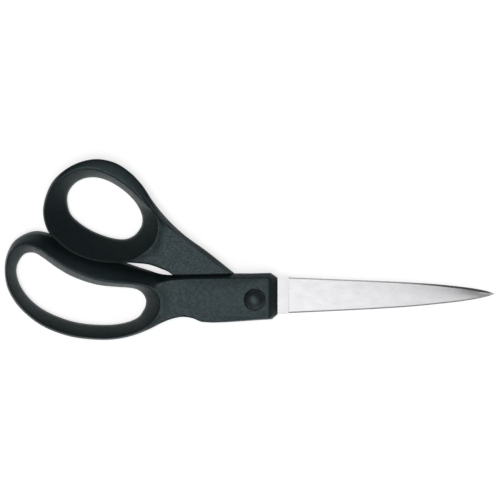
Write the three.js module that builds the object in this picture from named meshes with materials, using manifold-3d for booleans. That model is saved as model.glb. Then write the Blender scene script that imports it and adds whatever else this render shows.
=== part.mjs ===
// Right-handed fabric shears with bent, moulded handles.
//
// Units are millimetres. X runs along the blades towards the tips, Y is the plane of the cut, and Z is
// the thickness, from the face that the shears rest on (z = 0) up to the side that faces the user's
// right hand. The origin is on the pivot's axis, on the resting face. The shears are drawn closed.
//
// The front half is the finger handle with the upper blade, and the rear half is the thumb handle with
// the lower blade. Each handle is moulded round its blade's tang. The halves lap each other at the
// pivot.

import * as THREE from "three";
import { mergeVertices } from "three/addons/utils/BufferGeometryUtils.js";
import Module from "manifold-3d";

const wasm = await Module();
wasm.setup();

// ---------------------------------------------------------------- driving dimensions

const LAP_Z = 6.3; // the plane in which the two halves slide on each other
const BLADE_GAP = 0.4; // between the blades' inner faces, kept by the blade washer
const BLADE_THICK = 2.2;
const FIT = 0.15; // clearance all round a piece held in a moulding
const RUN = 0.15; // radial clearance of a turning fit

const FRONT_FACE_Z = 12.6; // flat outer face of the finger handle's hub
const WEB_FACE_Z = 12.0; // flat outer face of the thumb handle's web
const HOLE_Z = 4.6; // height at which a loop's opening is narrowest

const HUB_END_X = 11.4; // the hubs end here, and the blades come out
const HUB_TOP_Y = 13.2;
const HUB_CHAMFER = 2.6; // plan width of the chamfer along the hub's top edge
const NOSE_CHAMFER = 4.2; // plan width of the slope down to the blade at the hub's end

const GRIND_START_X = 16.6; // the flat root of the blade ends and its ground face begins
const HEEL_X = 14.4; // where the cutting edge begins

const SHOULDER_R = 2.5; // pivot screw's shoulder, on which both blades turn
const THREAD_R = 2.0;
const HEAD_R = 4.2;
const WELL_R = HEAD_R + 0.4; // room in the mouldings round the screw's head and the nut
const CAP_R = 5.25;
const CAP_RISE = 2.9; // the domed cap stands this far above the hub's face
const ROUND = 48; // sides of the pivot's round pieces

const FRONT_BLADE_Z = LAP_Z + BLADE_GAP / 2;
const REAR_BLADE_Z = LAP_Z - BLADE_GAP / 2;
const FRONT_STACK_Z = FRONT_BLADE_Z + BLADE_THICK; // outer face of the front blade
const REAR_STACK_Z = REAR_BLADE_Z - BLADE_THICK;

// ---------------------------------------------------------------- materials

function finish(color, roughness, metalness) {
  return new THREE.MeshStandardMaterial({ color, roughness, metalness });
}

const handlePlastic = finish(0x22272a, 0.55, 0);
const capPlastic = finish(0x1c2023, 0.45, 0);
const bladeSteel = finish(0xd6d6da, 0.32, 1);
const screwSteel = finish(0xb9bcc0, 0.3, 1);
const springSteel = finish(0x8d9095, 0.35, 1);
const nylon = finish(0xe6e2d6, 0.6, 0);

// ---------------------------------------------------------------- solids

// A closed geometry as a manifold-3d solid.
function solid(geometry) {
  const bare = geometry.index ? geometry.toNonIndexed() : geometry.clone();
  bare.deleteAttribute("normal");
  bare.deleteAttribute("uv");
  const merged = mergeVertices(bare, 1e-4);
  return new wasm.Manifold(
    new wasm.Mesh({
      numProp: 3,
      vertProperties: merged.attributes.position.array,
      triVerts: new Uint32Array(merged.index.array),
    }),
  );
}

function meshOf(name, body, material) {
  const made = body.getMesh();
  const geometry = new THREE.BufferGeometry()
    .setAttribute("position", new THREE.BufferAttribute(new Float32Array(made.vertProperties), 3))
    .setIndex(new THREE.BufferAttribute(new Uint32Array(made.triVerts), 1));
  geometry.computeVertexNormals();
  const mesh = new THREE.Mesh(geometry, material);
  mesh.name = name;
  return mesh;
}

const plan = (points) => new THREE.Shape(points.map(([x, y]) => new THREE.Vector2(x, y)));

// An outline moved outwards by a distance.
function offset(outline, distance) {
  const points = outline.map(([x, y]) => new THREE.Vector2(x, y));
  const count = points.length;
  const side = THREE.ShapeUtils.isClockWise(points) ? 1 : -1;
  return points.map((p, k) => {
    const a = p.clone().sub(points[(k + count - 1) % count]).normalize();
    const b = points[(k + 1) % count].clone().sub(p).normalize();
    const out = new THREE.Vector2(-(a.y + b.y), a.x + b.x).normalize().multiplyScalar(side);
    const lean = Math.max(0.5, out.dot(new THREE.Vector2(-a.y, a.x)) * side);
    return p.clone().addScaledVector(out, distance / lean);
  });
}

// A plan shape raised from low to high.
function prism(shape, low, high) {
  const settings = { depth: high - low, bevelEnabled: false };
  return solid(new THREE.ExtrudeGeometry(shape, settings).translate(0, 0, low));
}

// A disc or ring on the pivot's axis.
function turned(profile) {
  const geometry = new THREE.LatheGeometry(
    profile.map(([r, z]) => new THREE.Vector2(r, z)),
    ROUND,
  );
  return solid(geometry.rotateX(Math.PI / 2));
}

const drum = (radius, low, high) => turned([[0, low], [radius, low], [radius, high], [0, high]]);

const ring = (inner, outer, low, high) =>
  turned([[inner, low], [outer, low], [outer, high], [inner, high], [inner, low]]);

// The closed surface over a grid of rows. Each row is a closed loop, and the last row joins the first,
// or is capped like the first where capped is true.
function skin(rows, capped) {
  const across = rows[0].length;
  const points = rows.flat();
  const index = [];
  const strips = capped ? rows.length - 1 : rows.length;
  for (let r = 0; r < strips; r++) {
    const next = (r + 1) % rows.length;
    for (let c = 0; c < across; c++) {
      const d = (c + 1) % across;
      const [a, b, e, f] = [r * across + c, r * across + d, next * across + d, next * across + c];
      index.push(a, b, e, a, e, f);
    }
  }
  if (capped) {
    const last = (rows.length - 1) * across;
    for (let c = 1; c < across - 1; c++) {
      index.push(0, c + 1, c);
      index.push(last, last + c, last + c + 1);
    }
  }
  const shape = new THREE.BufferGeometry().setFromPoints(points).setIndex(index);
  const made = solid(shape);
  return made.volume() > 0 ? made : solid(shape.setIndex(index.reverse()));
}

// ---------------------------------------------------------------- handles

// One station of a handle: where the line across its wall meets the opening, the rim's crest, the outer
// edge and the border of the flat outer face, in plan, with the crest's and edge's heights. tuck is how
// far the rear edge draws in towards the opening, and steps is how many facets lead to the next
// station.
function station(hole, rim, edge, heights) {
  const usual = { tuck: 1, face: null, faceZ: 0, steps: 2, corner: false };
  return { ...usual, hole, rim, edge, ...heights };
}

const BLEND = 5; // width of the hollow that leads from a rim's crest down to the flat face
const REAR_ROUND = 1.4; // plan width of the rounding at the rear edges

// The wall's section at a station, as eight points: round the front from the opening, then back along
// the rear.
function section({ hole, rim, edge, rimZ, edgeZ, tuck, face, faceZ }) {
  const at = ([x, y], z) => new THREE.Vector3(x, y, z);
  const h = at(hole, HOLE_Z);
  const crest = at(rim, rimZ);
  const side = at(edge, edgeZ);
  const inward = new THREE.Vector3(hole[0] - edge[0], hole[1] - edge[1], 0).normalize();
  const drop = rimZ - edgeZ;
  let hollow = crest.clone().lerp(side, 0.42);
  hollow.z = rimZ - 0.22 * drop;
  let border = crest.clone().lerp(side, 0.84);
  border.z = rimZ - 0.62 * drop;
  if (face) {
    border = at(face, faceZ);
    hollow = crest.clone().lerp(border, Math.min(0.5, BLEND / crest.distanceTo(border)));
    hollow.z = faceZ;
  }
  const rearSide = side.clone().addScaledVector(inward, tuck).setZ(1 + 0.35 * tuck);
  const rearEdge = rearSide.clone().addScaledVector(inward, REAR_ROUND).setZ(0);
  const rearHole = h.clone().addScaledVector(inward, -REAR_ROUND).setZ(0);
  return [h, crest, hollow, border, side, rearSide, rearEdge, rearHole];
}

const ROUNDING = [2.2, 0.8, 1.6, 0.7, 0.7, 0.8, 0.8, 1.2]; // of the section's eight corners

// The section with each corner cut to two points.
function rounded(points) {
  return points.flatMap((p, k) => {
    const before = points[(k + points.length - 1) % points.length];
    const after = points[(k + 1) % points.length];
    const share = (q) => Math.min(0.4, ROUNDING[k] / Math.max(p.distanceTo(q), 1e-6));
    return [p.clone().lerp(before, share(before)), p.clone().lerp(after, share(after))];
  });
}

// Points along a closed loop of stations: a smooth curve, broken at the corners.
function alongLoop(points, corners, steps) {
  const count = points.length;
  const first = corners.indexOf(true);
  const made = Array.from({ length: count }, () => []);
  const fill = (k, curve, from, spans) => {
    for (let s = 0; s < steps[k]; s++) made[k].push(curve.getPoint((from + s / steps[k]) / spans));
  };
  if (first < 0) {
    const curve = new THREE.CatmullRomCurve3(points, true, "centripetal");
    for (let k = 0; k < count; k++) fill(k, curve, k, count);
    return made.flat();
  }
  for (let start = first; start < first + count; ) {
    let end = start + 1;
    while (!corners[end % count]) end++;
    const run = Array.from({ length: end - start + 1 }, (_, i) => points[(start + i) % count]);
    const curve = new THREE.CatmullRomCurve3(run, false, "centripetal");
    for (let k = start; k < end; k++) fill(k % count, curve, k - start, end - start);
    start = end;
  }
  return made.flat();
}

// A whole handle: the skin over the sections of all its stations.
function handleBody(stations) {
  const sections = stations.map(section);
  const steps = stations.map((s) => s.steps);
  const corners = stations.map((s) => s.corner);
  const smooth = corners.map(() => false);
  const loops = sections[0].map((_, row) =>
    alongLoop(
      sections.map((s) => s[row]),
      row >= 3 && row <= 6 ? corners : smooth,
      steps,
    ),
  );
  const columns = loops[0].map((_, c) => rounded(loops.map((loop) => loop[c])));
  return skin(columns, false);
}

// Finger handle, anticlockwise from the bottom of its loop: along the neck and hub, round the hub's
// end, back along the hub's top, over the bar between the loops and round the loop's far end.
const hubTopFace = HUB_TOP_Y - HUB_CHAMFER;
const noseFace = HUB_END_X - NOSE_CHAMFER;
const bottom = { rimZ: 12.6, edgeZ: 9.5, tuck: 2 };
const neck = { rimZ: 13.2, edgeZ: FRONT_FACE_Z - 0.6, tuck: 0.5, faceZ: FRONT_FACE_Z };
const bar = { rimZ: 13.2, edgeZ: 4, tuck: 0.8 };
const farEnd = { rimZ: 12.8, edgeZ: 7, tuck: 1.4 };
const FINGER_STATIONS = [
  station([-75.8, -12.0], [-75.6, -18.7], [-75.8, -19.8], bottom),
  station([-67.6, -11.6], [-66.4, -18.1], [-66.3, -19.2], bottom),
  station([-61.2, -10.1], [-58.1, -15.8], [-57.9, -17.1], { ...bottom, rimZ: 12.8 }),
  station([-57.3, -8.0], [-52.4, -12.8], [-51.3, -14.4], {
    ...neck, edgeZ: 10.5, tuck: 1.2, face: [-51.7, -13.7], faceZ: 12.4,
  }),
  station([-55.5, -5.5], [-49.2, -9.8], [-46.1, -11.7], { ...neck, edgeZ: 11.2, face: [-46.4, -10.9] }),
  station([-54.6, -3.8], [-47.7, -7.4], [-41.2, -9.65], { ...neck, face: [-41.5, -9.0] }),
  station([-54.2, -2.6], [-47.0, -5.6], [-35.6, -8.5], { ...neck, face: [-35.6, -7.9] }),
  station([-54.1, -2.0], [-46.7, -4.6], [-30.6, -9.1], { ...neck, face: [-30.4, -8.5] }),
  station([-54.1, -1.6], [-46.6, -4.0], [-25.4, -11.0], { ...neck, face: [-25.2, -10.4], steps: 1 }),
  station([-54.0, -1.2], [-46.5, -3.3], [8.4, -9.7], {
    ...neck, face: [noseFace, -9.2], edgeZ: 9.4, steps: 1, corner: true,
  }),
  station([-54.0, -0.8], [-46.5, -2.7], [HUB_END_X, -7.1], {
    ...neck, face: [noseFace + 0.1, -8.2], edgeZ: 9.0, steps: 1, corner: true,
  }),
  station([-54.1, -0.1], [-46.5, -1.2], [HUB_END_X, 10.8], {
    ...neck, face: [noseFace + 0.1, 9.8], edgeZ: 9.0, steps: 1, corner: true,
  }),
  station([-54.3, 0.5], [-46.6, -0.3], [7.9, HUB_TOP_Y], {
    ...neck, face: [noseFace, hubTopFace], edgeZ: 10.2, corner: true,
  }),
  station([-54.9, 1.8], [-48.0, 3.0], [-41.0, 12.2], { ...neck, face: [-40.6, 9.8], edgeZ: 9.6 }),
  station([-56.1, 3.2], [-50.2, 5.0], [-46.4, 12.8], {
    ...bar, edgeZ: 7, face: [-46.4, 8.7], faceZ: 12.7,
  }),
  station([-58.2, 4.6], [-54.0, 6.8], [-52.2, 14.6], { ...bar, edgeZ: 5 }),
  station([-61.6, 5.4], [-59.2, 7.6], [-58.1, 16.5], bar),
  station([-67.2, 5.8], [-66.4, 8.2], [-66.0, 19.3], { ...bar, steps: 3 }),
  station([-78.2, 7.0], [-78.2, 10.1], [-78.6, 23.8], { ...bar, steps: 3 }),
  station([-90.3, 11.1], [-91.2, 15.4], [-91.8, 29.0], { ...bar, steps: 3 }),
  station([-98.6, 16.0], [-99.8, 20.9], [-101.0, 32.8], bar),
  station([-104.3, 20.2], [-105.8, 25.0], [-108.0, 33.9], { ...bar, edgeZ: 5 }),
  station([-108.5, 22.6], [-110.8, 26.8], [-113.8, 32.1], { ...bar, edgeZ: 6, tuck: 1.2 }),
  station([-112.7, 22.3], [-115.9, 26.3], [-118.8, 28.3], farEnd),
  station([-115.7, 19.0], [-120.2, 22.5], [-122.0, 21.9], farEnd),
  station([-117.0, 14.5], [-121.7, 15.2], [-123.0, 15.0], farEnd),
  station([-115.7, 8.5], [-120.6, 6.8], [-121.8, 6.2], farEnd),
  station([-112.0, 2.4], [-116.6, -0.6], [-117.7, -1.4], { ...farEnd, edgeZ: 8 }),
  station([-106.4, -2.9], [-110.5, -6.9], [-111.4, -7.9], bottom),
  station([-98.9, -7.1], [-102.8, -12.3], [-103.5, -13.4], bottom),
  station([-88.0, -10.7], [-90.4, -16.9], [-90.8, -18.1], { ...bottom, steps: 3 }),
];

// Thumb handle, anticlockwise from the ring's far side: under the ring, along the web's lower edge,
// round the rear hub, back up the web's upper edge and over the ring. Under the ring the wall draws in,
// so that the bar of the finger handle fits below it.
const ringSide = { rimZ: 13.6, edgeZ: 10.5, tuck: 2 };
const ringUnder = { rimZ: 14.2, edgeZ: 11.2, tuck: 7.4 };
const webLow = { rimZ: 13.1, edgeZ: WEB_FACE_Z - 0.8, tuck: 1, faceZ: WEB_FACE_Z };
const rearHub = { ...webLow, rimZ: 12.8, tuck: 0.3 };
const webHigh = { ...webLow, rimZ: 12.8, edgeZ: 9.8, tuck: 0.6 };
const ringTop = { rimZ: 13.0, edgeZ: 11.7, tuck: 1.2 };
const THUMB_STATIONS = [
  station([-91.7, 47.0], [-103.1, 43.6], [-103.9, 44.2], ringSide),
  station([-90.2, 42.4], [-101.4, 35.0], [-102.0, 34.7], { ...ringSide, rimZ: 14, tuck: 3 }),
  station([-86.4, 38.5], [-97.3, 30.0], [-97.9, 29.4], { ...ringUnder, tuck: 5 }),
  station([-80.8, 34.8], [-90.6, 24.3], [-91.0, 23.7], ringUnder),
  station([-75.1, 32.3], [-82.6, 20.6], [-82.9, 20.0], ringUnder),
  station([-69.6, 30.7], [-73.4, 18.7], [-73.5, 18.1], ringUnder),
  station([-65.0, 30.2], [-64.8, 18.6], [-64.5, 18.1], { ...ringUnder, rimZ: 13.8, tuck: 4.2 }),
  station([-61.9, 30.8], [-58.2, 20.2], [-58.1, 17.8], {
    ...webLow, rimZ: 13.4, face: [-58.1, 18.8], faceZ: 12.7, edgeZ: 11.5, tuck: 1.8,
  }),
  station([-59.1, 32.5], [-53.8, 23.2], [-52.2, 17.2], { ...webLow, face: [-52.4, 18.2], faceZ: 12.2 }),
  station([-57.1, 34.9], [-50.7, 26.0], [-46.4, 15.3], { ...webLow, face: [-46.8, 16.2] }),
  station([-56.2, 36.5], [-48.9, 28.9], [-40.8, 12.5], { ...rearHub, face: [-41.3, 13.3] }),
  station([-55.9, 37.5], [-48.1, 30.9], [-37.3, 5.5], { ...rearHub, face: [-37.9, 6.0] }),
  station([-55.8, 38.2], [-47.8, 32.4], [-32.3, -3.0], { ...rearHub, face: [-32.8, -2.5] }),
  station([-55.7, 39.0], [-47.5, 34.0], [-25.4, -9.8], {
    ...rearHub, face: [-25.6, -9.2], corner: true,
  }),
  station([-55.9, 41.2], [-47.6, 38.0], [-9.8, 12.9], {
    ...webHigh, face: [-10.9, 11.4], steps: 3, corner: true,
  }),
  station([-56.3, 42.5], [-48.1, 39.8], [-22.8, 23.3], { ...webHigh, face: [-24.1, 21.4], steps: 3 }),
  station([-56.9, 44.1], [-49.0, 41.9], [-34.7, 32.0], { ...webHigh, face: [-35.9, 30.4] }),
  station([-57.8, 45.8], [-50.4, 44.0], [-43.5, 40.4], {
    ...webHigh, face: [-44.7, 39.0], faceZ: 12.2, edgeZ: 9.8,
  }),
  station([-59.7, 48.5], [-53.0, 46.5], [-49.5, 47.9], {
    ...ringTop, face: [-50.8, 47.0], faceZ: 12.4, edgeZ: 10.8,
  }),
  station([-63.4, 52.3], [-58.0, 51.6], [-55.1, 56.3], ringTop),
  station([-68.0, 55.7], [-63.9, 56.6], [-61.1, 62.6], ringTop),
  station([-73.4, 58.5], [-70.8, 60.9], [-68.5, 67.3], ringTop),
  station([-79.6, 59.8], [-78.6, 63.8], [-77.2, 69.1], ringTop),
  station([-85.4, 58.7], [-86.5, 63.8], [-85.7, 67.6], ringTop),
  station([-89.4, 55.8], [-93.4, 60.4], [-93.9, 63.2], { ...ringTop, rimZ: 13.2 }),
  station([-91.7, 51.6], [-99.2, 55.3], [-100.2, 56.5], ringSide),
];

// The rear hub, a plate chamfered along its outer face. It lies behind the front hub and joins the web.
const REAR_PLATE = [
  [-25.4, -9.8], [8.3, -9.1], [11.2, -6.9], [11.2, 10.6], [7.8, 12.9], [-16, 12.9], [-29, 0],
];
const REAR_PLATE_CHAMFER = 1;
function rearPlate() {
  const at = (inset, z) => offset(REAR_PLATE, -inset).map((p) => new THREE.Vector3(p.x, p.y, z));
  return skin([at(REAR_PLATE_CHAMFER, 0), at(0, REAR_PLATE_CHAMFER), at(0, LAP_Z - 0.05)], true);
}

// ---------------------------------------------------------------- blades

// The spine's and the cutting edge's heights at distances along the blade, from root to tip.
const SPINE = [
  [GRIND_START_X - 0.4, 10.95], [38, 10.1], [58, 9.3], [77, 8.4], [89, 7.6],
  [101, 6.4], [109, 5.3], [115, 4.0], [118.0, 3.05],
];
const EDGE = [
  [GRIND_START_X - 0.4, -6.7], [38, -5.7], [58, -4.7], [77, -3.45], [89, -2.3],
  [101, -0.95], [109, 0.35], [115, 1.7], [118.0, 2.75],
];
const SPINE_LAND = 0.6; // width of the bevel along the spine at the root
const EDGE_LAND = 0.7; // width of the honed bevel along the cutting edge
const EDGE_THICK = 0.7; // blade's thickness behind the honed bevel
const EDGE_WALL = 0.12; // and at the edge itself

// The ground part of a blade. outward is 1 for the front blade, with its spine up, and -1 for the rear
// blade.
function groundBlade(outward) {
  const innerZ = outward > 0 ? FRONT_BLADE_Z : REAR_BLADE_Z;
  const z = (height) => innerZ + outward * height;
  const upper = new THREE.SplineCurve(SPINE.map(([x, y]) => new THREE.Vector2(x, y)));
  const lower = new THREE.SplineCurve(EDGE.map(([x, y]) => new THREE.Vector2(x, y)));
  const inset = outward > 0 ? 0 : 0.15; // the rear blade hides behind the front one
  const stations = 24;
  const rows = [];
  for (let i = 0; i <= stations; i++) {
    const top = upper.getPoint(i / stations);
    const low = lower.getPoint(i / stations);
    const x = top.x;
    const [spineY, edgeY] = outward > 0 ? [top.y - inset, low.y + inset] : [low.y + inset, top.y - inset];
    const away = Math.sign(edgeY - spineY);
    const width = Math.abs(edgeY - spineY);
    const thick = BLADE_THICK * (1 - 0.45 * (i / stations) ** 2) - 0.1;
    const land = Math.min(SPINE_LAND + 1.2 * (i / stations) ** 2, 0.3 * width);
    const hone = Math.min(EDGE_LAND, 0.3 * width);
    rows.push([
      new THREE.Vector3(x, spineY, z(0)),
      new THREE.Vector3(x, spineY, z(0.6 * thick)),
      new THREE.Vector3(x, spineY + away * land, z(thick)),
      new THREE.Vector3(x, edgeY - away * hone, z(EDGE_THICK)),
      new THREE.Vector3(x, edgeY, z(EDGE_WALL)),
      new THREE.Vector3(x, edgeY, z(0)),
    ]);
  }
  return skin(rows, true);
}

// The flat part of the front blade: its root outside the hub, the plate round the pivot, and the tang
// in the neck.
const FRONT_TANG = [
  [GRIND_START_X, 11.2], [-8, 11.2], [-13, 8.4], [-41, 7.6], [-43.2, 5.4], [-43.2, -1.6],
  [-41, -3.8], [-14, -4.6], [-8, -7.0], [HEEL_X, -7.1], [GRIND_START_X, -6.7],
];
const FRONT_LOCKS = [[-22, 1.8], [-34, 1.8]];

// The rear blade's tang turns up into the web of the thumb handle.
const REAR_TANG = [
  [GRIND_START_X, 10.7], [-4, 10.7], [-11, 10.2], [-33.5, 27.4], [-37.4, 26.8], [-41.4, 20.6],
  [-40.4, 17.2], [-13, -3.6], [-7, -6.8], [HEEL_X, -6.8], [GRIND_START_X, -6.4],
];
const REAR_LOCKS = [[-19.5, 9.6], [-30.5, 18.2]];
const LOCK_R = 2.3;

// A tang's plan shape, grown outwards by grow, with its lock holes shrunk by as much.
function tangShape(outline, locks, grow) {
  const shape = new THREE.Shape(offset(outline, grow));
  for (const [x, y] of locks) {
    shape.holes.push(new THREE.Path().absarc(x, y, LOCK_R - grow, 0, 2 * Math.PI, true));
  }
  return shape;
}

function blade(outline, locks, outward) {
  const [low, high] = outward > 0 ? [FRONT_BLADE_Z, FRONT_STACK_Z] : [REAR_STACK_Z, REAR_BLADE_Z];
  const plate = prism(tangShape(outline, locks, 0), low, high);
  return plate.add(groundBlade(outward)).subtract(drum(SHOULDER_R + RUN, low - 1, high + 1));
}

// ---------------------------------------------------------------- cuts in the handles

// Space for a tang, open towards the lap.
function tangPocket(outline, locks, outward) {
  const [low, high] = outward > 0
    ? [LAP_Z - 0.5, FRONT_STACK_Z + FIT]
    : [REAR_STACK_Z - FIT, LAP_Z + 0.5];
  return prism(tangShape(outline, locks, FIT), low, high);
}

// Left border of the rear hub's seat in the finger handle, with room for the thumb handle to close
// against it.
const SEAT_BORDER = [
  [-42.0, 15], [-41.8, 11.7], [-38.7, 4.7], [-33.6, -4.0], [-27.0, -10.6], [-27.0, -16],
];
const fingerLap = () => prism(plan([...SEAT_BORDER, [30, -16], [30, 15]]), -1, LAP_Z + 0.05);

// The thumb handle's web ends on a shoulder along the front hub's top edge, just clear of it.
const SHOULDER = [[-48, 11.2], [-41.6, 12.5], [8, 13.35], [30, 13.35], [30, -16], [-48, -16]];
const thumbLap = () => prism(plan(SHOULDER), LAP_Z - 0.05, 20);

// A lip at the foot of the front hub's top edge reaches into a rebate under the web, so that nothing
// shows through the gap between them.
const LIP = [[-39.5, 11.6], [-39.5, 13.4], [-38.5, 13.9], [-13.5, 13.9], [-13.5, 11.6]];
const LIP_TOP = 8;
const REBATE = [[-40.2, 11.6], [-40.2, 14.2], [-12.8, 14.2], [-12.8, 11.6]];

// ---------------------------------------------------------------- pivot

const WASHER_Z = FRONT_STACK_Z + 0.05;
const HEAD_Z = WASHER_Z + 0.65;
const HEAD_TOP = HEAD_Z + 1.1;
const CAP_Z = HEAD_TOP + 0.1;
const NUT_TOP = REAR_STACK_Z - 0.05;
const NUT_LOW = 1.7;
const REAR_CAP_TOP = 1.2;
const SCREW_END = REAR_CAP_TOP + 0.25;

function fingerHandle() {
  return handleBody(FINGER_STATIONS)
    .subtract(fingerLap())
    .add(prism(plan(LIP), LAP_Z + 0.05, LIP_TOP))
    .subtract(tangPocket(FRONT_TANG, FRONT_LOCKS, 1))
    .subtract(drum(WELL_R, LAP_Z - 1, HEAD_TOP + 0.05))
    .subtract(drum(CAP_R + FIT, HEAD_TOP, 20));
}

function thumbHandle() {
  return handleBody(THUMB_STATIONS)
    .subtract(thumbLap())
    .subtract(prism(plan(REBATE), LAP_Z - 0.05, LIP_TOP + 0.2))
    .add(rearPlate())
    .subtract(tangPocket(REAR_TANG, REAR_LOCKS, -1))
    .subtract(drum(WELL_R, REAR_CAP_TOP, LAP_Z + 1))
    .subtract(drum(CAP_R + FIT, -1, REAR_CAP_TOP + 0.05));
}

function pivotScrew() {
  const shank = drum(SHOULDER_R, NUT_TOP, HEAD_Z + 0.3).add(drum(THREAD_R, SCREW_END, NUT_TOP + 0.3));
  const head = drum(HEAD_R, HEAD_Z, HEAD_TOP);
  const slot = prism(plan([[-6, -0.6], [6, -0.6], [6, 0.6], [-6, 0.6]]), HEAD_TOP - 0.7, HEAD_TOP + 1);
  return shank.add(head).subtract(slot);
}

// A cone spring washer under the screw's head keeps the blades pressed together.
function springWasher() {
  const [inner, outer, thick, rise] = [SHOULDER_R + RUN, HEAD_R - 0.2, 0.35, 0.25];
  return turned([
    [inner, WASHER_Z + rise], [outer, WASHER_Z], [outer, WASHER_Z + thick],
    [inner, WASHER_Z + rise + thick], [inner, WASHER_Z + rise],
  ]);
}

function pivotNut() {
  const flats = new THREE.CylinderGeometry(HEAD_R, HEAD_R, NUT_TOP - NUT_LOW, 6);
  const body = solid(flats.rotateX(Math.PI / 2).translate(0, 0, (NUT_TOP + NUT_LOW) / 2));
  return body.subtract(drum(THREAD_R + RUN, NUT_LOW - 1, NUT_TOP + 1));
}

// The domed cap that snaps into the front hub over the screw's head.
function pivotCap() {
  const rimTop = FRONT_FACE_Z + 0.2;
  const dome = [];
  const arcs = 7;
  for (let i = 0; i <= arcs; i++) {
    const a = (i / arcs) * (Math.PI / 2);
    dome.push([CAP_R * Math.cos(a), rimTop + (CAP_RISE - 0.2) * Math.sin(a)]);
  }
  dome[arcs][0] = 0;
  return turned([[0, CAP_Z], [CAP_R, CAP_Z], ...dome]);
}

// ---------------------------------------------------------------- assembly

const shears = new THREE.Group();
const frontHalf = new THREE.Group();
const rearHalf = new THREE.Group();
shears.add(frontHalf, rearHalf);

frontHalf.add(
  meshOf("finger_handle", fingerHandle(), handlePlastic),
  meshOf("front_blade", blade(FRONT_TANG, FRONT_LOCKS, 1), bladeSteel),
  meshOf("pivot_screw", pivotScrew(), screwSteel),
  meshOf("spring_washer", springWasher(), springSteel),
  meshOf("pivot_nut", pivotNut(), screwSteel),
  meshOf("pivot_cap", pivotCap(), capPlastic),
  meshOf("blade_washer", ring(SHOULDER_R + RUN, 5.5, LAP_Z - 0.15, LAP_Z + 0.15), nylon),
);
rearHalf.add(
  meshOf("thumb_handle", thumbHandle(), handlePlastic),
  meshOf("rear_blade", blade(REAR_TANG, REAR_LOCKS, -1), bladeSteel),
  meshOf("rear_cap", drum(CAP_R, 0, REAR_CAP_TOP), capPlastic),
);

export default shears;
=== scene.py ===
"""Looks of the fabric shears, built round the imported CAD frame.

Lengths in the tables are millimetres in the CAD frame: X along the blades to the tips, Y in the plane
of the cut, Z up from the face that the shears rest on. Objects are made in metres.
"""

import math

import bpy
import numpy as np
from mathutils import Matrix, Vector


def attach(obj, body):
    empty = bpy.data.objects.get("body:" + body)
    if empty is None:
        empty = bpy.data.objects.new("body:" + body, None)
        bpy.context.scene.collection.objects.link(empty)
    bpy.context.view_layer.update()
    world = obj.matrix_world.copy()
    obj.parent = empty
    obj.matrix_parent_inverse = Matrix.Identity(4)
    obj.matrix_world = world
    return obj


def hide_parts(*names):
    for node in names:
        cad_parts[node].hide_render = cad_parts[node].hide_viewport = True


MM = 0.001
CUT, JOIN = "DIFFERENCE", "UNION"

# ---------------------------------------------------------------- dimensions

LAP_Z = 6.3
BLADE_GAP = 0.4
BLADE_THICK = 2.2
FRONT_FACE_Z = 12.6
WEB_FACE_Z = 12.0
HOLE_Z = 4.6
HUB_END_X = 11.4
HUB_TOP_Y = 13.2
HUB_CHAMFER = 2.6
NOSE_CHAMFER = 4.2
FIT = 0.15
CAP_R = 5.25
CAP_RISE = 2.9
CAP_Z = 10.6
REAR_CAP_TOP = 1.2
SCREW_WELL_R = 4.6  # room round the screw's head and the nut
PIVOT_HOLE_R = 2.65
GRIND_START_X = 16.6
HEEL_X = 14.4
EDGE_LAND = 0.7  # width of the honed bevel along the cutting edge
EDGE_THICK = 0.7  # blade's thickness behind it
EDGE_WALL = 0.12  # and at the edge itself
GRIND_HOLLOW = 0.1  # depth of the ground face's hollow

FINE = 5  # points between a handle's stations, along the wall
CURVE = 4  # spans round each corner of the wall's section

# ---------------------------------------------------------------- meshes


def piece(name, vertices, faces, body, replaced, material, sharp=32):
    """A shown piece from points in mm: smooth, with edges sharper than `sharp` degrees kept crisp."""
    mesh = bpy.data.meshes.new(name)
    mesh.from_pydata((np.asarray(vertices) * MM).tolist(), [], faces)
    mesh.validate()
    made = bpy.data.objects.new(name, mesh)
    bpy.context.scene.collection.objects.link(made)
    made.data.materials.append(material)
    smooth(made, sharp)
    if body:
        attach(made, body)
        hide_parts(*replaced)
    return made


def smooth(made, sharp):
    made.data.polygons.foreach_set("use_smooth", [True] * len(made.data.polygons))
    made.data.set_sharp_from_angle(angle=math.radians(sharp))


def skin(rows, capped):
    """Vertices and faces over equal rows, each a closed loop. The rows close too, or are capped."""
    rows = np.asarray(rows)
    count, across = rows.shape[:2]
    faces = []
    for r in range(count - 1 if capped else count):
        n = (r + 1) % count
        for c in range(across):
            d = (c + 1) % across
            faces.append([r * across + c, r * across + d, n * across + d, n * across + c])
    if capped:
        faces.append(list(range(across - 1, -1, -1)))
        faces.append([(count - 1) * across + c for c in range(across)])
    return rows.reshape(-1, 3), faces


def outward(vertices, faces):
    """The faces, turned over if the solid is inside out."""
    v = np.asarray(vertices)
    volume = 0.0
    for f in faces:
        a = v[f[0]]
        for i in range(1, len(f) - 1):
            volume += np.dot(a, np.cross(v[f[i]], v[f[i + 1]]))
    return faces if volume > 0 else [f[::-1] for f in faces]


def turned(profile, sides=96):
    """A solid of revolution about the pivot's axis. Its (radius, z) points start and end on the axis."""
    vertices = [(0, 0, profile[0][1])]
    angles = [2 * math.pi * k / sides for k in range(sides)]
    rings = profile[1:-1]
    for r, z in rings:
        vertices += [(r * math.cos(a), r * math.sin(a), z) for a in angles]
    vertices.append((0, 0, profile[-1][1]))
    last = len(vertices) - 1
    faces = []
    for k in range(sides):
        n = (k + 1) % sides
        faces.append([0, 1 + n, 1 + k])
        for i in range(len(rings) - 1):
            a, b = 1 + i * sides, 1 + (i + 1) * sides
            faces.append([a + k, a + n, b + n, b + k])
        top = 1 + (len(rings) - 1) * sides
        faces.append([top + k, top + n, last])
    return vertices, outward(vertices, faces)


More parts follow.
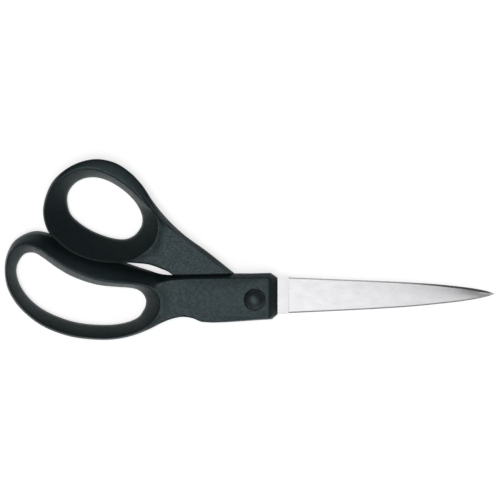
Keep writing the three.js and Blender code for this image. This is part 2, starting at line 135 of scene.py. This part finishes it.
def prism(outline, low, high):
    count = len(outline)
    vertices = [(x, y, low) for x, y in outline] + [(x, y, high) for x, y in outline]
    faces = [list(range(count))[::-1], [count + k for k in range(count)]]
    faces += [[k, (k + 1) % count, count + (k + 1) % count, count + k] for k in range(count)]
    return vertices, outward(vertices, faces)


def combine(made, steps, sharp=32):
    """Cuts solids from a piece and adds solids to it. Each step is (operation, (vertices, faces))."""
    bpy.context.view_layer.objects.active = made
    for operation, (vertices, faces) in steps:
        tool = piece("tool", vertices, faces, None, (), made.data.materials[0])
        boolean = made.modifiers.new("combine", "BOOLEAN")
        boolean.operation = operation
        boolean.solver = "MANIFOLD"
        boolean.object = tool
        bpy.ops.object.modifier_apply(modifier=boolean.name)
        bpy.data.meshes.remove(tool.data)
    smooth(made, sharp)


# ---------------------------------------------------------------- handles

BLEND = 5  # width of the hollow that leads from a rim's crest down to the flat face
REAR_ROUND = 1.4  # plan width of the rounding at the rear edges
ROUNDING = [2.6, 0.9, 2.4, 0.8, 0.8, 1.0, 1.0, 1.4]  # of the section's eight corners


def station(hole, rim, edge, rimZ, edgeZ, tuck=1, face=None, faceZ=0, steps=2, corner=False):
    """Where the line across a handle's wall meets the opening, the crest and the outer edge, in plan.

    `face` is the border of the flat outer face, where there is one, and `tuck` is how far the rear edge
    draws in towards the opening. `steps` leads to the next station, and outer edges break at a `corner`.
    """
    return dict(
        hole=hole, rim=rim, edge=edge, rimZ=rimZ, edgeZ=edgeZ, tuck=tuck,
        face=face, faceZ=faceZ, steps=steps, corner=corner,
    )


def section(s):
    """The wall's section at a station: round the front from the opening, then back along the rear."""
    hole = np.array([*s["hole"], HOLE_Z], float)
    crest = np.array([*s["rim"], s["rimZ"]], float)
    side = np.array([*s["edge"], s["edgeZ"]], float)
    inward = np.array([*(hole - side)[:2], 0])
    inward /= np.linalg.norm(inward)
    drop = s["rimZ"] - s["edgeZ"]
    hollow = crest + 0.42 * (side - crest)
    hollow[2] = s["rimZ"] - 0.22 * drop
    border = crest + 0.84 * (side - crest)
    border[2] = s["rimZ"] - 0.62 * drop
    if s["face"] is not None:
        border = np.array([*s["face"], s["faceZ"]], float)
        hollow = crest + min(0.5, BLEND / np.linalg.norm(border - crest)) * (border - crest)
        hollow[2] = s["faceZ"]
    rear_side = side + s["tuck"] * inward
    rear_side[2] = 1 + 0.35 * s["tuck"]
    rear_edge = rear_side + REAR_ROUND * inward
    rear_edge[2] = 0
    rear_hole = hole - REAR_ROUND * inward
    rear_hole[2] = 0
    return np.array([hole, crest, hollow, border, side, rear_side, rear_edge, rear_hole])


def rounded(points):
    """The section with each corner turned into a short curve."""
    made = []
    for k, p in enumerate(points):
        before, after = points[k - 1], points[(k + 1) % len(points)]
        start = p + min(0.45, ROUNDING[k] / max(np.linalg.norm(before - p), 1e-6)) * (before - p)
        end = p + min(0.45, ROUNDING[k] / max(np.linalg.norm(after - p), 1e-6)) * (after - p)
        for i in range(CURVE + 1):
            t = i / CURVE
            made.append((1 - t) ** 2 * start + 2 * t * (1 - t) * p + t * t * end)
    return np.array(made)


def catmull(p0, p1, p2, p3, t):
    """A point on the centripetal Catmull-Rom curve from p1 to p2."""
    d0 = max(np.linalg.norm(p1 - p0) ** 0.5, 1e-4)
    d1 = max(np.linalg.norm(p2 - p1) ** 0.5, 1e-4)
    d2 = max(np.linalg.norm(p3 - p2) ** 0.5, 1e-4)
    m1 = ((p1 - p0) / d0 - (p2 - p0) / (d0 + d1) + (p2 - p1) / d1) * d1
    m2 = ((p2 - p1) / d1 - (p3 - p1) / (d1 + d2) + (p3 - p2) / d2) * d1
    a = 2 * p1 - 2 * p2 + m1 + m2
    b = -3 * p1 + 3 * p2 - 2 * m1 - m2
    return a * t**3 + b * t**2 + m1 * t + p1


def along_loop(points, corners, steps):
    """Points along a closed loop of stations: a smooth curve, broken at the corners."""
    n = len(points)
    made = []
    for k in range(n):
        p1, p2 = points[k], points[(k + 1) % n]
        p0 = 2 * p1 - p2 if corners[k] else points[k - 1]
        p3 = 2 * p2 - p1 if corners[(k + 1) % n] else points[(k + 2) % n]
        made += [catmull(p0, p1, p2, p3, i / (steps[k] * FINE)) for i in range(steps[k] * FINE)]
    return made


def handle_skin(stations):
    sections = [section(s) for s in stations]
    corners = [s["corner"] for s in stations]
    plain = [False] * len(stations)
    steps = [s["steps"] for s in stations]
    loops = [
        along_loop([s[row] for s in sections], corners if 3 <= row <= 6 else plain, steps)
        for row in range(8)
    ]
    return [rounded([loop[c] for loop in loops]) for c in range(len(loops[0]))]


HUB_TOP_FACE = HUB_TOP_Y - HUB_CHAMFER
NOSE_FACE = HUB_END_X - NOSE_CHAMFER
BOTTOM = dict(rimZ=12.6, edgeZ=9.5, tuck=2)
NECK = dict(rimZ=13.2, edgeZ=FRONT_FACE_Z - 0.6, tuck=0.5, faceZ=FRONT_FACE_Z)
BAR = dict(rimZ=13.2, edgeZ=4, tuck=0.8)
FAR_END = dict(rimZ=12.8, edgeZ=7, tuck=1.4)
FINGER_STATIONS = [
    station((-75.8, -12.0), (-75.6, -18.7), (-75.8, -19.8), **BOTTOM),
    station((-67.6, -11.6), (-66.4, -18.1), (-66.3, -19.2), **BOTTOM),
    station((-61.2, -10.1), (-58.1, -15.8), (-57.9, -17.1), **{**BOTTOM, "rimZ": 12.8}),
    station((-57.3, -8.0), (-52.4, -12.8), (-51.3, -14.4), **{
        **NECK, "edgeZ": 10.5, "tuck": 1.2, "face": (-51.7, -13.7), "faceZ": 12.4,
    }),
    station((-55.5, -5.5), (-49.2, -9.8), (-46.1, -11.7), **{
        **NECK, "edgeZ": 11.2, "face": (-46.4, -10.9),
    }),
    station((-54.6, -3.8), (-47.7, -7.4), (-41.2, -9.65), **{**NECK, "face": (-41.5, -9.0)}),
    station((-54.2, -2.6), (-47.0, -5.6), (-35.6, -8.5), **{**NECK, "face": (-35.6, -7.9)}),
    station((-54.1, -2.0), (-46.7, -4.6), (-30.6, -9.1), **{**NECK, "face": (-30.4, -8.5)}),
    station((-54.1, -1.6), (-46.6, -4.0), (-25.4, -11.0), **{
        **NECK, "face": (-25.2, -10.4), "steps": 1,
    }),
    station((-54.0, -1.2), (-46.5, -3.3), (8.4, -9.7), **{
        **NECK, "face": (NOSE_FACE, -9.2), "edgeZ": 9.4, "steps": 1, "corner": True,
    }),
    station((-54.0, -0.8), (-46.5, -2.7), (HUB_END_X, -7.1), **{
        **NECK, "face": (NOSE_FACE + 0.1, -8.2), "edgeZ": 9.0, "steps": 1, "corner": True,
    }),
    station((-54.1, -0.1), (-46.5, -1.2), (HUB_END_X, 10.8), **{
        **NECK, "face": (NOSE_FACE + 0.1, 9.8), "edgeZ": 9.0, "steps": 1, "corner": True,
    }),
    station((-54.3, 0.5), (-46.6, -0.3), (7.9, HUB_TOP_Y), **{
        **NECK, "face": (NOSE_FACE, HUB_TOP_FACE), "edgeZ": 10.2, "corner": True,
    }),
    station((-54.9, 1.8), (-48.0, 3.0), (-41.0, 12.2), **{
        **NECK, "face": (-40.6, 9.8), "edgeZ": 9.6,
    }),
    station((-56.1, 3.2), (-50.2, 5.0), (-46.4, 12.8), **{
        **BAR, "edgeZ": 7, "face": (-46.4, 8.7), "faceZ": 12.7,
    }),
    station((-58.2, 4.6), (-54.0, 6.8), (-52.2, 14.6), **{**BAR, "edgeZ": 5}),
    station((-61.6, 5.4), (-59.2, 7.6), (-58.1, 16.5), **BAR),
    station((-67.2, 5.8), (-66.4, 8.2), (-66.0, 19.3), **{**BAR, "steps": 3}),
    station((-78.2, 7.0), (-78.2, 10.1), (-78.6, 23.8), **{**BAR, "steps": 3}),
    station((-90.3, 11.1), (-91.2, 15.4), (-91.8, 29.0), **{**BAR, "steps": 3}),
    station((-98.6, 16.0), (-99.8, 20.9), (-101.0, 32.8), **BAR),
    station((-104.3, 20.2), (-105.8, 25.0), (-108.0, 33.9), **{**BAR, "edgeZ": 5}),
    station((-108.5, 22.6), (-110.8, 26.8), (-113.8, 32.1), **{**BAR, "edgeZ": 6, "tuck": 1.2}),
    station((-112.7, 22.3), (-115.9, 26.3), (-118.8, 28.3), **FAR_END),
    station((-115.7, 19.0), (-120.2, 22.5), (-122.0, 21.9), **FAR_END),
    station((-117.0, 14.5), (-121.7, 15.2), (-123.0, 15.0), **FAR_END),
    station((-115.7, 8.5), (-120.6, 6.8), (-121.8, 6.2), **FAR_END),
    station((-112.0, 2.4), (-116.6, -0.6), (-117.7, -1.4), **{**FAR_END, "edgeZ": 8}),
    station((-106.4, -2.9), (-110.5, -6.9), (-111.4, -7.9), **BOTTOM),
    station((-98.9, -7.1), (-102.8, -12.3), (-103.5, -13.4), **BOTTOM),
    station((-88.0, -10.7), (-90.4, -16.9), (-90.8, -18.1), **{**BOTTOM, "steps": 3}),
]

RING_SIDE = dict(rimZ=13.6, edgeZ=10.5, tuck=2)
RING_UNDER = dict(rimZ=14.2, edgeZ=11.2, tuck=7.4)
WEB_LOW = dict(rimZ=13.1, edgeZ=WEB_FACE_Z - 0.8, tuck=1, faceZ=WEB_FACE_Z)
REAR_HUB = {**WEB_LOW, "rimZ": 12.8, "tuck": 0.3}
WEB_HIGH = {**WEB_LOW, "rimZ": 12.8, "edgeZ": 9.8, "tuck": 0.6}
RING_TOP = dict(rimZ=13.0, edgeZ=11.7, tuck=1.2)
THUMB_STATIONS = [
    station((-91.7, 47.0), (-103.1, 43.6), (-103.9, 44.2), **RING_SIDE),
    station((-90.2, 42.4), (-101.4, 35.0), (-102.0, 34.7), **{**RING_SIDE, "rimZ": 14, "tuck": 3}),
    station((-86.4, 38.5), (-97.3, 30.0), (-97.9, 29.4), **{**RING_UNDER, "tuck": 5}),
    station((-80.8, 34.8), (-90.6, 24.3), (-91.0, 23.7), **RING_UNDER),
    station((-75.1, 32.3), (-82.6, 20.6), (-82.9, 20.0), **RING_UNDER),
    station((-69.6, 30.7), (-73.4, 18.7), (-73.5, 18.1), **RING_UNDER),
    station((-65.0, 30.2), (-64.8, 18.6), (-64.5, 18.1), **{
        **RING_UNDER, "rimZ": 13.8, "tuck": 4.2,
    }),
    station((-61.9, 30.8), (-58.2, 20.2), (-58.1, 17.8), **{
        **WEB_LOW, "rimZ": 13.4, "face": (-58.1, 18.8), "faceZ": 12.7, "edgeZ": 11.5, "tuck": 1.8,
    }),
    station((-59.1, 32.5), (-53.8, 23.2), (-52.2, 17.2), **{
        **WEB_LOW, "face": (-52.4, 18.2), "faceZ": 12.2,
    }),
    station((-57.1, 34.9), (-50.7, 26.0), (-46.4, 15.3), **{**WEB_LOW, "face": (-46.8, 16.2)}),
    station((-56.2, 36.5), (-48.9, 28.9), (-40.8, 12.5), **{**REAR_HUB, "face": (-41.3, 13.3)}),
    station((-55.9, 37.5), (-48.1, 30.9), (-37.3, 5.5), **{**REAR_HUB, "face": (-37.9, 6.0)}),
    station((-55.8, 38.2), (-47.8, 32.4), (-32.3, -3.0), **{**REAR_HUB, "face": (-32.8, -2.5)}),
    station((-55.7, 39.0), (-47.5, 34.0), (-25.4, -9.8), **{
        **REAR_HUB, "face": (-25.6, -9.2), "corner": True,
    }),
    station((-55.9, 41.2), (-47.6, 38.0), (-9.8, 12.9), **{
        **WEB_HIGH, "face": (-10.9, 11.4), "steps": 3, "corner": True,
    }),
    station((-56.3, 42.5), (-48.1, 39.8), (-22.8, 23.3), **{
        **WEB_HIGH, "face": (-24.1, 21.4), "steps": 3,
    }),
    station((-56.9, 44.1), (-49.0, 41.9), (-34.7, 32.0), **{**WEB_HIGH, "face": (-35.9, 30.4)}),
    station((-57.8, 45.8), (-50.4, 44.0), (-43.5, 40.4), **{
        **WEB_HIGH, "face": (-44.7, 39.0), "faceZ": 12.2, "edgeZ": 9.8,
    }),
    station((-59.7, 48.5), (-53.0, 46.5), (-49.5, 47.9), **{
        **RING_TOP, "face": (-50.8, 47.0), "faceZ": 12.4, "edgeZ": 10.8,
    }),
    station((-63.4, 52.3), (-58.0, 51.6), (-55.1, 56.3), **RING_TOP),
    station((-68.0, 55.7), (-63.9, 56.6), (-61.1, 62.6), **RING_TOP),
    station((-73.4, 58.5), (-70.8, 60.9), (-68.5, 67.3), **RING_TOP),
    station((-79.6, 59.8), (-78.6, 63.8), (-77.2, 69.1), **RING_TOP),
    station((-85.4, 58.7), (-86.5, 63.8), (-85.7, 67.6), **RING_TOP),
    station((-89.4, 55.8), (-93.4, 60.4), (-93.9, 63.2), **{**RING_TOP, "rimZ": 13.2}),
    station((-91.7, 51.6), (-99.2, 55.3), (-100.2, 56.5), **RING_SIDE),
]

# Left border of the rear hub's seat in the finger handle.
SEAT = [
    (-42.0, 15), (-41.8, 11.7), (-38.7, 4.7), (-33.6, -4.0), (-27.0, -10.6), (-27.0, -16),
    (30, -16), (30, 15),
]

# The thumb handle's web ends on a shoulder along the front hub's top edge, just clear of it.
SHOULDER = [(-48, 11.2), (-41.6, 12.5), (8, 13.35), (30, 13.35), (30, -16), (-48, -16)]

# The rear hub, a plate chamfered along its outer face.
REAR_PLATE = [(-25.4, -9.8), (8.3, -9.1), (11.2, -6.9), (11.2, 10.6), (7.8, 12.9), (-16, 12.9), (-29, 0)]
REAR_PLATE_CHAMFER = 1

# A lip at the foot of the front hub's top edge reaches into a rebate under the web.
LIP = [(-39.5, 11.6), (-39.5, 13.4), (-38.5, 13.9), (-13.5, 13.9), (-13.5, 11.6)]
LIP_TOP = 8
REBATE = [(-40.2, 11.6), (-40.2, 14.2), (-12.8, 14.2), (-12.8, 11.6)]


def well(radius, low, high):
    """A round recess on the pivot's axis, as a solid to cut away."""
    return turned([(0, low), (radius, low), (radius, high), (0, high)])


FRONT_TANG = [
    (20, 11.2), (-8, 11.2), (-13, 8.4), (-41, 7.6), (-43.2, 5.4), (-43.2, -1.6), (-41, -3.8), (-14, -4.6),
    (-8, -7.0), (20, -7.1),
]
REAR_TANG = [
    (20, 10.7), (-4, 10.7), (-11, 10.2), (-33.5, 27.4), (-37.4, 26.8), (-41.4, 20.6), (-40.4, 17.2),
    (-13, -3.6), (-7, -6.8), (20, -6.8),
]


def grown(outline, by):
    """A clockwise or anticlockwise outline moved outwards by `by`."""
    p = np.array(outline, float)
    area = sum(a[0] * b[1] - b[0] * a[1] for a, b in zip(p, np.roll(p, -1, 0)))
    made = []
    for k in range(len(p)):
        a = p[k] - p[k - 1]
        b = p[(k + 1) % len(p)] - p[k]
        a, b = a / np.linalg.norm(a), b / np.linalg.norm(b)
        normals = np.array([(a[1], -a[0]), (b[1], -b[0])]) * math.copysign(1, area)
        out = normals.sum(0) / np.linalg.norm(normals.sum(0))
        made.append(tuple(p[k] + out * by / max(0.5, out @ normals[0])))
    return made


def rear_plate():
    """The rear hub as a solid, with the edges of its outer face chamfered."""
    levels = [(REAR_PLATE_CHAMFER, 0), (0, REAR_PLATE_CHAMFER), (0, LAP_Z - 0.05)]
    rows = [[(*p, z) for p in grown(REAR_PLATE, -inset)] for inset, z in levels]
    vertices, faces = skin(rows, True)
    return vertices, outward(vertices, faces)


def finger_handle(material):
    vertices, faces = skin(handle_skin(FINGER_STATIONS), False)
    made = piece(
        "finger_handle_looks", vertices, outward(vertices, faces), "finger_half", ["finger_handle"],
        material,
    )
    top = FRONT_BLADE_Z + BLADE_THICK
    combine(made, [
        (CUT, prism(SEAT, -1, LAP_Z + 0.05)),
        (JOIN, prism(LIP, LAP_Z + 0.05, LIP_TOP)),
        (CUT, prism(grown(FRONT_TANG, FIT), LAP_Z - 0.5, top + FIT)),
        (CUT, well(SCREW_WELL_R, LAP_Z - 1, CAP_Z)),
        (CUT, well(CAP_R + FIT, CAP_Z - 0.05, 20)),
    ])
    return made


def thumb_handle(material):
    vertices, faces = skin(handle_skin(THUMB_STATIONS), False)
    made = piece(
        "thumb_handle_looks", vertices, outward(vertices, faces), "thumb_half", ["thumb_handle"],
        material,
    )
    low = REAR_BLADE_Z - BLADE_THICK
    combine(made, [
        (CUT, prism(SHOULDER, LAP_Z - 0.05, 20)),
        (CUT, prism(REBATE, LAP_Z - 0.05, LIP_TOP + 0.2)),
        (JOIN, rear_plate()),
        (CUT, prism(grown(REAR_TANG, FIT), low - FIT, LAP_Z + 0.5)),
        (CUT, well(SCREW_WELL_R, REAR_CAP_TOP, LAP_Z + 1)),
        (CUT, well(CAP_R + FIT, -1, REAR_CAP_TOP + 0.05)),
    ])
    return made


# ---------------------------------------------------------------- blades

FRONT_BLADE_Z = LAP_Z + BLADE_GAP / 2
REAR_BLADE_Z = LAP_Z - BLADE_GAP / 2
SPINE = [
    (16.2, 10.95), (38, 10.1), (58, 9.3), (77, 8.4), (89, 7.6),
    (101, 6.4), (109, 5.3), (115, 4.0), (118.0, 3.05),
]
EDGE = [
    (16.2, -6.7), (38, -5.7), (58, -4.7), (77, -3.45), (89, -2.3),
    (101, -0.95), (109, 0.35), (115, 1.7), (118.0, 2.75),
]


def along(points, t):
    """A point at t from 0 to 1 on a smooth open curve through points."""
    p = [np.array(q, float) for q in points]
    k = min(int(t * (len(p) - 1)), len(p) - 2)
    before = p[k - 1] if k else 2 * p[0] - p[1]
    after = p[k + 2] if k + 2 < len(p) else 2 * p[-1] - p[-2]
    return catmull(before, p[k], p[k + 1], after, t * (len(p) - 1) - k)


def ground_rows(front):
    """The ground part of a blade, from root to tip, as rows round its section."""
    inner = FRONT_BLADE_Z if front else REAR_BLADE_Z
    sign = 1 if front else -1
    inset = 0 if front else 0.15
    rows = []
    count = 90
    across = 10
    for i in range(count + 1):
        t = i / count
        top, low = along(SPINE, t), along(EDGE, t)
        x = top[0]
        spine, edge = (top[1] - inset, low[1] + inset) if front else (low[1] + inset, top[1] - inset)
        away = math.copysign(1, edge - spine)
        width = abs(edge - spine)
        thick = BLADE_THICK * (1 - 0.45 * t * t) - 0.1
        land = min(0.6 + 1.2 * t * t, 0.3 * width)
        hone = min(EDGE_LAND, 0.3 * width)
        row = [(x, spine, 0), (x, spine, 0.6 * thick)]
        a = np.array([spine + away * land, thick])
        b = np.array([edge - away * hone, EDGE_THICK])
        for j in range(across + 1):
            s = j / across
            y, z = a + s * (b - a)
            row.append((x, y, z - GRIND_HOLLOW * math.sin(math.pi * s)))
        row += [(x, edge, EDGE_WALL), (x, edge, 0)]
        rows.append([(px, py, inner + sign * pz) for px, py, pz in row])
    return rows


def blade(front, material):
    rows = ground_rows(front)
    vertices, faces = skin(rows, True)
    name, body = ("front_blade", "finger_half") if front else ("rear_blade", "thumb_half")
    made = piece(
        name + "_looks", vertices, outward(vertices, faces), body, [name], material, 12,
    )
    z0 = FRONT_BLADE_Z if front else REAR_BLADE_Z
    low, high = (z0, z0 + BLADE_THICK) if front else (z0 - BLADE_THICK, z0)
    if front:
        root = FRONT_TANG[1:-1] + [(HEEL_X, -7.1), (GRIND_START_X, -6.7), (GRIND_START_X, 11.2)]
    else:
        root = REAR_TANG[1:-1] + [(HEEL_X, -6.8), (GRIND_START_X, -6.4), (GRIND_START_X, 10.7)]
    combine(made, [(JOIN, prism(root, low, high)), (CUT, well(PIVOT_HOLE_R, low - 1, high + 1))], 12)
    return made


# ---------------------------------------------------------------- caps


def pivot_cap(material):
    rim = FRONT_FACE_Z + 0.2
    dome = []
    for i in range(17):
        a = i / 16 * math.pi / 2
        dome.append((CAP_R * math.cos(a), rim + (CAP_RISE - 0.2) * math.sin(a)))
    dome[-1] = (0, dome[-1][1])
    profile = [(0, CAP_Z), (CAP_R - 0.2, CAP_Z), (CAP_R, CAP_Z + 0.2), *dome]
    vertices, faces = turned(profile)
    return piece("pivot_cap_looks", vertices, faces, "finger_half", ["pivot_cap"], material)


def rear_cap(material):
    r = CAP_R
    profile = [(0, 0), (r - 0.25, 0), (r, 0.25), (r, REAR_CAP_TOP), (0, REAR_CAP_TOP)]
    vertices, faces = turned(profile)
    return piece("rear_cap_looks", vertices, faces, "thumb_half", ["rear_cap"], material)


# ---------------------------------------------------------------- materials


class Nodes:
    """Short names for building a material's nodes."""

    def __init__(self, name):
        self.material = bpy.data.materials.new(name)
        self.material.use_nodes = True
        self.tree = self.material.node_tree
        self.shader = self.tree.nodes["Principled BSDF"]
        self.place = self.tree.nodes.new("ShaderNodeTexCoord").outputs["Object"]

    def link(self, a, b):
        self.tree.links.new(a, b)

    def noise(self, scale, detail=4, stretch=(1, 1, 1), rough=0.5):
        mapping = self.tree.nodes.new("ShaderNodeMapping")
        mapping.inputs["Scale"].default_value = stretch
        self.link(self.place, mapping.inputs["Vector"])
        node = self.tree.nodes.new("ShaderNodeTexNoise")
        node.inputs["Scale"].default_value = scale
        node.inputs["Detail"].default_value = detail
        node.inputs["Roughness"].default_value = rough
        self.link(mapping.outputs["Vector"], node.inputs["Vector"])
        return node.outputs["Fac"]

    def ramp(self, value, stops):
        node = self.tree.nodes.new("ShaderNodeValToRGB")
        elements = node.color_ramp.elements
        for k, (position, color) in enumerate(stops):
            element = elements[k] if k < 2 else elements.new(position)
            element.position = position
            element.color = (*color, 1) if len(color) == 3 else color
        self.link(value, node.inputs["Fac"])
        return node.outputs["Color"]

    def span(self, value, low, high, from_low=0.3, from_high=0.7):
        node = self.tree.nodes.new("ShaderNodeMapRange")
        node.inputs["From Min"].default_value = from_low
        node.inputs["From Max"].default_value = from_high
        node.inputs["To Min"].default_value = low
        node.inputs["To Max"].default_value = high
        self.link(value, node.inputs["Value"])
        return node.outputs["Result"]

    def bump(self, value, strength, distance, under=None):
        node = self.tree.nodes.new("ShaderNodeBump")
        node.inputs["Strength"].default_value = strength
        node.inputs["Distance"].default_value = distance
        self.link(value, node.inputs["Height"])
        if under is not None:
            self.link(under, node.inputs["Normal"])
        return node.outputs["Normal"]


def plastic(name, dark, light, rough_low, rough_high, grain):
    n = Nodes(name)
    n.link(n.ramp(n.noise(480, 6), [(0.3, dark), (0.7, light)]), n.shader.inputs["Base Color"])
    n.link(n.span(n.noise(900, 4), rough_low, rough_high), n.shader.inputs["Roughness"])
    fine = n.bump(n.noise(5200, 3), grain, 0.00006)
    n.link(n.bump(n.noise(900, 3), grain * 0.5, 0.0001, fine), n.shader.inputs["Normal"])
    n.shader.inputs["IOR"].default_value = 1.5
    n.shader.inputs["Specular Tint"].default_value = (0.74, 0.94, 1, 1)
    return n.material


def steel(name, dark, light, rough_low, rough_high, stretch, strength):
    n = Nodes(name)
    brushed = n.noise(260, 6, stretch, 0.6)
    n.link(n.ramp(brushed, [(0.3, dark), (0.7, light)]), n.shader.inputs["Base Color"])
    n.link(n.span(brushed, rough_low, rough_high), n.shader.inputs["Roughness"])
    n.link(n.bump(n.noise(900, 4, stretch, 0.6), strength, 0.00004), n.shader.inputs["Normal"])
    n.shader.inputs["Metallic"].default_value = 1
    return n.material


# ---------------------------------------------------------------- assembly

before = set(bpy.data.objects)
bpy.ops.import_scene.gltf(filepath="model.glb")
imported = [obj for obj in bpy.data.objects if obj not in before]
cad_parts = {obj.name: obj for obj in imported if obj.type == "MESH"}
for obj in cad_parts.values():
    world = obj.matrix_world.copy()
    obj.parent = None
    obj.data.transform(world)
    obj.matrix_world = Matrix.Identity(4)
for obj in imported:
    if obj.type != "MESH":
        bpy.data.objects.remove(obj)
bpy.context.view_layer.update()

handle = plastic(
    "handle_plastic_looks", (0.005, 0.009, 0.009), (0.009, 0.016, 0.017), 0.36, 0.52, 0.5,
)
cap = plastic(
    "cap_plastic_looks", (0.009, 0.012, 0.013), (0.014, 0.018, 0.020), 0.34, 0.46, 0.2,
)
blade_steel = steel(
    "blade_steel_looks", (0.36, 0.36, 0.366), (0.43, 0.425, 0.435), 0.3, 0.38, (0.8, 1.4, 1), 0.1,
)
screw_steel = steel(
    "screw_steel_looks", (0.45, 0.45, 0.47), (0.58, 0.58, 0.6), 0.25, 0.4, (1, 1, 4), 0.2,
)
spring = steel(
    "spring_steel_looks", (0.25, 0.25, 0.27), (0.36, 0.36, 0.38), 0.3, 0.45, (1, 1, 3), 0.2,
)
nylon = plastic(
    "nylon_looks", (0.68, 0.65, 0.57), (0.78, 0.75, 0.68), 0.5, 0.65, 0.1,
)

finger_handle(handle)
thumb_handle(handle)
blade(True, blade_steel)
blade(False, blade_steel)
pivot_cap(cap)
rear_cap(cap)

for node, slot, material in [
    ("pivot_screw", "screw_steel", screw_steel),
    ("pivot_nut", "screw_steel", screw_steel),
    ("spring_washer", "spring_steel", spring),
    ("blade_washer", "nylon", nylon),
]:
    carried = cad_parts[node]
    carried.data.materials.clear()
    carried.data.materials.append(material)

# ---------------------------------------------------------------- stage


def floor():
    vertices, faces = prism([(-3000, -3000), (3000, -3000), (3000, 3000), (-3000, 3000)], -5, 0)
    n = Nodes("floor_looks")
    shades = n.ramp(n.noise(30, 3), [(0.3, (0.86, 0.86, 0.86)), (0.7, (0.89, 0.89, 0.89))])
    n.link(shades, n.shader.inputs["Base Color"])
    n.shader.inputs["Roughness"].default_value = 0.9
    n.shader.inputs["Emission Color"].default_value = (1, 1, 1, 1)
    n.shader.inputs["Emission Strength"].default_value = 0.62
    made = piece("floor", vertices, faces, None, (), n.material)


def area_light(name, place, target, size, power):
    data = bpy.data.lights.new(name, "AREA")
    data.shape = "RECTANGLE"
    data.size, data.size_y = size
    data.energy = power
    made = bpy.data.objects.new(name, data)
    bpy.context.scene.collection.objects.link(made)
    made.location = place
    made.rotation_euler = (Vector(target) - Vector(place)).to_track_quat("-Z", "Y").to_euler()


def camera():
    """Looks straight down, far enough away for the thickness not to spread."""
    data = bpy.data.cameras.new("camera")
    made = bpy.data.objects.new("camera", data)
    bpy.context.scene.collection.objects.link(made)
    distance = 1.4
    data.sensor_width = 36
    data.lens = 36 * distance / 0.2454
    made.location = (-0.0023, 0.0244, distance + 0.01)
    data.clip_start = 0.05
    bpy.context.scene.camera = made


def light():
    world = bpy.data.worlds.new("world")
    world.use_nodes = True
    tree = world.node_tree
    direction = tree.nodes.new("ShaderNodeSeparateXYZ")
    tree.links.new(tree.nodes.new("ShaderNodeTexCoord").outputs["Generated"], direction.inputs["Vector"])
    glow = tree.nodes.new("ShaderNodeMapRange")
    glow.inputs["From Min"].default_value = -1
    glow.inputs["From Max"].default_value = 0
    glow.inputs["To Min"].default_value = 0.5
    glow.inputs["To Max"].default_value = 0.12
    tree.links.new(direction.outputs["Y"], glow.inputs["Value"])
    background = tree.nodes["Background"]
    background.inputs["Color"].default_value = (1, 1, 1, 1)
    tree.links.new(glow.outputs["Result"], background.inputs["Strength"])
    bpy.context.scene.world = world
    bpy.context.scene.view_settings.view_transform = "Standard"
    area_light("overhead", (-0.25, -0.12, 2.6), (0, 0, 0), (1.9, 1.1), 24)
    area_light("low_side", (0.6, -2.5, 1.7), (0, 0, 0), (2.2, 1.0), 8)


floor()
light()
camera()
